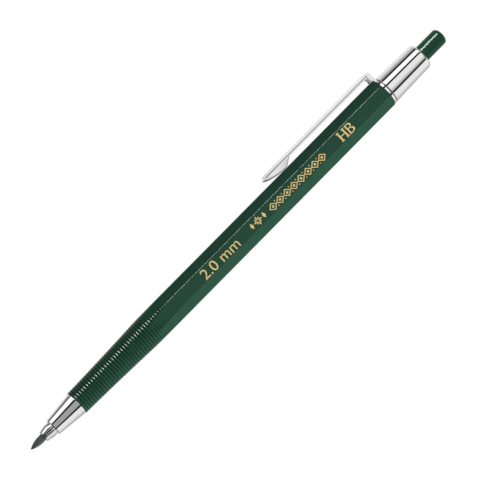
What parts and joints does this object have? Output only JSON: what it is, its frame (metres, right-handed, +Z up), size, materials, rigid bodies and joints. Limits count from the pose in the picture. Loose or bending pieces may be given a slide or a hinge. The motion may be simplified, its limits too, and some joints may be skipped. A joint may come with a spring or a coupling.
{
  "type": "lead holder",
  "caption": "Clutch lead holder: octagonal barrel with a ringed grip, chromed nose cone, slotted jaws round a thick lead, pocket clip, rear sleeve and push button.",
  "frame": {"origin": "on the barrel's bottom flat, straight below the axis, at the middle of the whole length", "axes": "+X along the axis towards the push button (the lead points to -X), +Y towards the clip, +Z up, out of the label flat"},
  "size_m": [0.1518, 0.0112, 0.0084],
  "materials": {
    "barrel_green": "satin moulded plastic",
    "button_green": "polished moulded plastic",
    "chrome": "bright plated",
    "clutch_metal": "bright plated, fine turning marks",
    "brass": "turned",
    "spring_steel": "drawn wire",
    "graphite": "dark lead with a soft sheen"
  },
  "bodies": {
    "housing": {"barrel": "barrel_green", "front_bush": "brass", "nose_cone": "chrome", "front_washer": "spring_steel", "return_spring": "spring_steel", "rear_bush": "brass", "clip_ring": "chrome", "rear_sleeve": "chrome"},
    "plunger": {"lead_tube": "brass", "collet_body": "clutch_metal", "tube_collar": "brass", "snap_ring": "spring_steel"},
    "jaw_1": {"collet_jaw_1": "clutch_metal"},
    "jaw_2": {"collet_jaw_2": "clutch_metal"},
    "jaw_3": {"collet_jaw_3": "clutch_metal"},
    "lead": {"lead": "graphite"},
    "cap": {"push_button": "button_green", "button_socket": "brass"},
    "clip": {"clip_arm": "chrome"}
  },
  "joints": [
    {"name": "press", "type": "slide", "parent": "housing", "child": "plunger", "axis": [-1, 0, 0], "range_m": [0, 0.004], "stiffness_N_per_m": 350, "springref_m": -0.008, "deforming": ["return_spring"]},
    {"name": "jaw_1_open", "type": "hinge", "parent": "plunger", "child": "jaw_1", "pos_m": [-0.058, 0.00111, 0.00484], "axis": [0, 0.5, -0.866], "range_deg": [0, 2]},
    {"name": "jaw_2_open", "type": "hinge", "parent": "plunger", "child": "jaw_2", "pos_m": [-0.058, 0, 0.00292], "axis": [0, -1, 0], "range_deg": [0, 2]},
    {"name": "jaw_3_open", "type": "hinge", "parent": "plunger", "child": "jaw_3", "pos_m": [-0.058, -0.00111, 0.00484], "axis": [0, 0.5, 0.866], "range_deg": [0, 2]},
    {"name": "lead_feed", "type": "slide", "parent": "plunger", "child": "lead", "axis": [-1, 0, 0], "range_m": [-0.0045, 0.02]},
    {"name": "cap_pull", "type": "slide", "parent": "plunger", "child": "cap", "axis": [1, 0, 0], "range_m": [0, 0.006]},
    {"name": "clip_flex", "type": "hinge", "parent": "housing", "child": "clip", "pos_m": [0.05465, 0.00425, 0.0042], "axis": [0, 0, -1], "range_deg": [0, 5], "stiffness_Nm_per_rad": 1.6, "springref_deg": -1.72}
  ],
  "couplings": [
    {"joint": "jaw_1_open", "follows": "press", "rad_per_m": 8.72},
    {"joint": "jaw_2_open", "follows": "press", "rad_per_m": 8.72},
    {"joint": "jaw_3_open", "follows": "press", "rad_per_m": 8.72}
  ]
}
